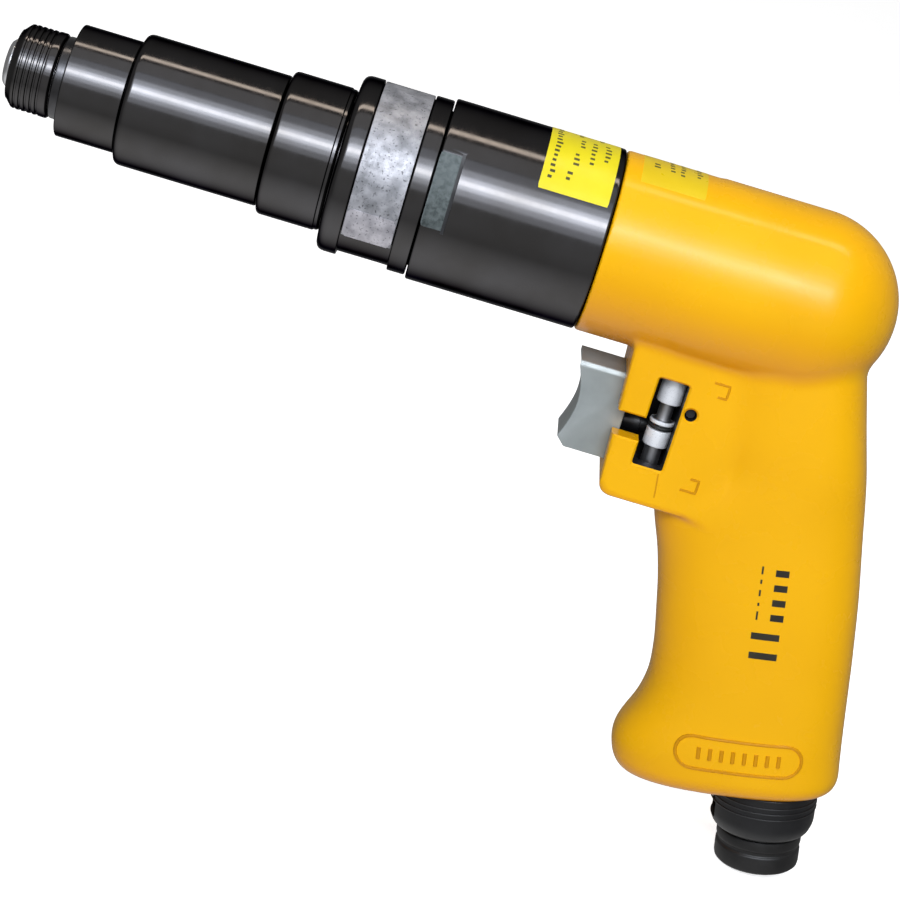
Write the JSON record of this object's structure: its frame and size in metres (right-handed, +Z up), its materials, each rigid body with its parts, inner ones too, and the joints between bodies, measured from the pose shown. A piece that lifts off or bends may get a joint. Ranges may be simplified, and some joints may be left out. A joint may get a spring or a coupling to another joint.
{
  "type": "pneumatic screwdriver",
  "caption": "Pistol-grip air screwdriver: stepped black steel barrel with clutch window band and bit chuck, yellow cast handle with trigger, reversing spool and air inlet.",
  "frame": {"origin": "centre of the floor of the hexagonal bit socket, on the spindle axis", "axes": "+X back along the spindle from the bit to the rear dome, +Y to the right of the tool, +Z up with the handle hanging down"},
  "size_m": [0.243, 0.0444, 0.166],
  "materials": {
    "yellow_casting": "glossy warm yellow enamel on a die-cast housing",
    "black_oxide_steel": "polished black-oxide turned steel",
    "grey_band": "frosted, mottled zinc-grey spring band",
    "bright_steel": "ground bright steel",
    "satin_steel": "satin machined steel",
    "spring_steel": "oiled spring wire",
    "grey_trigger": "bead-blasted grey",
    "brass": "turned brass",
    "black_plastic": "moulded matt black",
    "seal_rubber": "nitrile rubber",
    "felt": "grey sound-damping felt",
    "vane_resin": "brown cloth-laminated resin"
  },
  "bodies": {
    "housing": {"handle_body": "yellow_casting", "motor_housing": "black_oxide_steel", "clutch_housing": "black_oxide_steel", "lock_collar": "black_oxide_steel", "clutch_case": "black_oxide_steel", "nose_cap": "black_oxide_steel", "dust_ring": "bright_steel", "front_bearing": "bright_steel", "carrier_bearing": "bright_steel", "ring_gear": "satin_steel", "front_end_plate": "satin_steel", "rotor_front_bearing": "bright_steel", "cylinder_liner": "satin_steel", "rear_end_plate": "satin_steel", "rotor_rear_bearing": "bright_steel", "valve_bush": "brass", "valve_spring": "spring_steel", "spool_pin": "bright_steel", "inlet_bushing": "black_oxide_steel", "inlet_screen": "brass", "muffler_felt": "felt"},
    "spindle": {"output_spindle": "bright_steel", "chuck_retainer": "bright_steel", "chuck_spring": "spring_steel", "lock_ball_1": "bright_steel", "lock_ball_2": "bright_steel", "clutch_ball_1": "bright_steel", "clutch_ball_2": "bright_steel", "clutch_ball_3": "bright_steel"},
    "chuck": {"chuck_sleeve": "black_oxide_steel"},
    "clutch_drive": {"clutch_shaft": "satin_steel", "output_carrier": "satin_steel", "clutch_spring": "spring_steel"},
    "cam": {"driving_cam": "satin_steel"},
    "washer": {"thrust_washer": "bright_steel"},
    "nut": {"adjusting_nut": "brass"},
    "first_stage": {"middle_carrier": "satin_steel"},
    "rotor": {"rotor": "satin_steel", "vane_1": "vane_resin", "vane_2": "vane_resin", "vane_3": "vane_resin", "vane_4": "vane_resin", "vane_5": "vane_resin"},
    "band": {"cover_band": "grey_band"},
    "deflector": {"exhaust_deflector": "black_plastic"},
    "trigger": {"trigger": "grey_trigger", "push_rod": "black_plastic", "throttle_valve": "brass"},
    "spool": {"reverse_spool": "bright_steel", "spool_seal": "seal_rubber"},
    "planet_output_1": {"planet_output_1": "satin_steel"},
    "planet_output_2": {"planet_output_2": "satin_steel"},
    "planet_output_3": {"planet_output_3": "satin_steel"},
    "planet_motor_1": {"planet_motor_1": "satin_steel"},
    "planet_motor_2": {"planet_motor_2": "satin_steel"},
    "planet_motor_3": {"planet_motor_3": "satin_steel"}
  },
  "joints": [
    {"name": "rotor_spin", "type": "hinge", "parent": "housing", "child": "rotor", "pos_m": [0.158, 0, 0], "axis": [1, 0, 0], "continuous": true},
    {"name": "first_stage_spin", "type": "hinge", "parent": "housing", "child": "first_stage", "pos_m": [0.1097, 0, 0], "axis": [1, 0, 0], "continuous": true},
    {"name": "clutch_drive_spin", "type": "hinge", "parent": "housing", "child": "clutch_drive", "pos_m": [0.0943, 0, 0], "axis": [1, 0, 0], "continuous": true},
    {"name": "spindle_spin", "type": "hinge", "parent": "housing", "child": "spindle", "pos_m": [0.0055, 0, 0], "axis": [1, 0, 0], "continuous": true},
    {"name": "chuck_slide", "type": "slide", "parent": "spindle", "child": "chuck", "axis": [-1, 0, 0], "range_m": [0, 0.0025], "stiffness_N_per_m": 1200, "springref_m": -0.003, "deforming": ["chuck_spring"]},
    {"name": "cam_slide", "type": "slide", "parent": "clutch_drive", "child": "cam", "axis": [1, 0, 0], "range_m": [0, 0.0014], "stiffness_N_per_m": 20000, "springref_m": -0.004, "deforming": ["clutch_spring"]},
    {"name": "washer_slide", "type": "slide", "parent": "clutch_drive", "child": "washer", "axis": [-1, 0, 0], "range_m": [0, 0.0034], "deforming": ["clutch_spring"]},
    {"name": "nut_turn", "type": "hinge", "parent": "washer", "child": "nut", "pos_m": [0.076, 0, 0], "axis": [1, 0, 0], "range_deg": [0, 720]},
    {"name": "band_turn", "type": "hinge", "parent": "housing", "child": "band", "pos_m": [0.07725, 0, 0], "axis": [1, 0, 0], "continuous": true},
    {"name": "trigger_slide", "type": "slide", "parent": "housing", "child": "trigger", "axis": [1, 0, 0], "range_m": [0, 0.0042], "stiffness_N_per_m": 1500, "springref_m": -0.004, "deforming": ["valve_spring"]},
    {"name": "spool_slide", "type": "slide", "parent": "housing", "child": "spool", "axis": [0, 0, -1], "range_m": [0, 0.0042]},
    {"name": "deflector_turn", "type": "hinge", "parent": "housing", "child": "deflector", "pos_m": [0.21242, 0, -0.12655], "axis": [0.1977, 0, -0.9803], "continuous": true},
    {"name": "planet_output_1_spin", "type": "hinge", "parent": "clutch_drive", "child": "planet_output_1", "pos_m": [0.10165, 0, 0.00945], "axis": [1, 0, 0], "continuous": true},
    {"name": "planet_output_2_spin", "type": "hinge", "parent": "clutch_drive", "child": "planet_output_2", "pos_m": [0.10165, 0.00818, -0.00473], "axis": [1, 0, 0], "continuous": true},
    {"name": "planet_output_3_spin", "type": "hinge", "parent": "clutch_drive", "child": "planet_output_3", "pos_m": [0.10165, -0.00818, -0.00473], "axis": [1, 0, 0], "continuous": true},
    {"name": "planet_motor_1_spin", "type": "hinge", "parent": "first_stage", "child": "planet_motor_1", "pos_m": [0.11705, 0, 0.00945], "axis": [1, 0, 0], "continuous": true},
    {"name": "planet_motor_2_spin", "type": "hinge", "parent": "first_stage", "child": "planet_motor_2", "pos_m": [0.11705, 0.00818, -0.00473], "axis": [1, 0, 0], "continuous": true},
    {"name": "planet_motor_3_spin", "type": "hinge", "parent": "first_stage", "child": "planet_motor_3", "pos_m": [0.11705, -0.00818, -0.00473], "axis": [1, 0, 0], "continuous": true}
  ],
  "couplings": [
    {"joint": "first_stage_spin", "follows": "rotor_spin", "ratio": 0.22222},
    {"joint": "clutch_drive_spin", "follows": "rotor_spin", "ratio": 0.049383},
    {"joint": "spindle_spin", "follows": "rotor_spin", "ratio": 0.049383},
    {"joint": "nut_turn", "follows": "washer_slide", "rad_per_m": 3695.6},
    {"joint": "planet_motor_1_spin", "follows": "rotor_spin", "ratio": -0.62222},
    {"joint": "planet_output_1_spin", "follows": "rotor_spin", "ratio": -0.13827},
    {"joint": "planet_motor_2_spin", "follows": "rotor_spin", "ratio": -0.62222},
    {"joint": "planet_output_2_spin", "follows": "rotor_spin", "ratio": -0.13827},
    {"joint": "planet_motor_3_spin", "follows": "rotor_spin", "ratio": -0.62222},
    {"joint": "planet_output_3_spin", "follows": "rotor_spin", "ratio": -0.13827}
  ]
}
